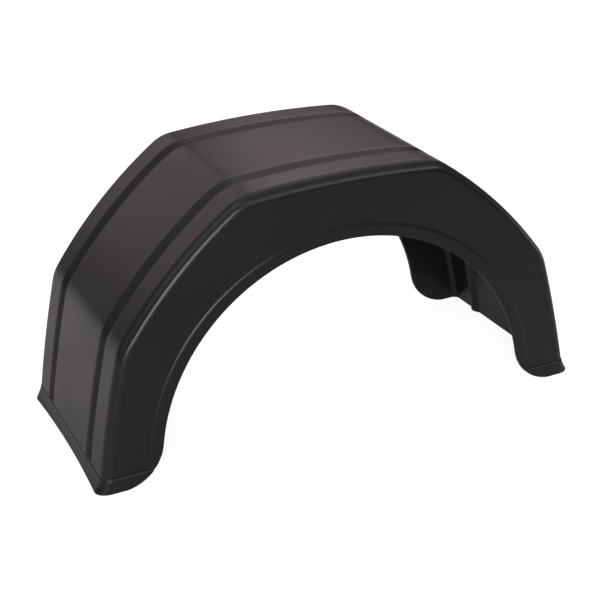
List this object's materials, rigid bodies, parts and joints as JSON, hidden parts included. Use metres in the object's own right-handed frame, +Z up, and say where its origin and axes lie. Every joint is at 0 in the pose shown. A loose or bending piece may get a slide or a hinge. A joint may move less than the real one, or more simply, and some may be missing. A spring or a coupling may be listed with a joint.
{
  "type": "trailer mudguard",
  "caption": "Moulded plastic mudguard with a faceted tread, stepped shoulders, lengthwise grooves, side walls cut to a round wheel arch and hemmed ends.",
  "frame": {"origin": "middle of the part in plan, at the plane of the leg ends on which it stands", "axes": "+X along the guard in the wheel's running direction, +Y across it, +Z up from the leg ends to the crown"},
  "size_m": [0.5632, 0.2436, 0.2892],
  "materials": {
    "plastic": "semi-matt black moulded plastic"
  },
  "bodies": {
    "root": {"mudguard": "plastic"}
  },
  "joints": []
}
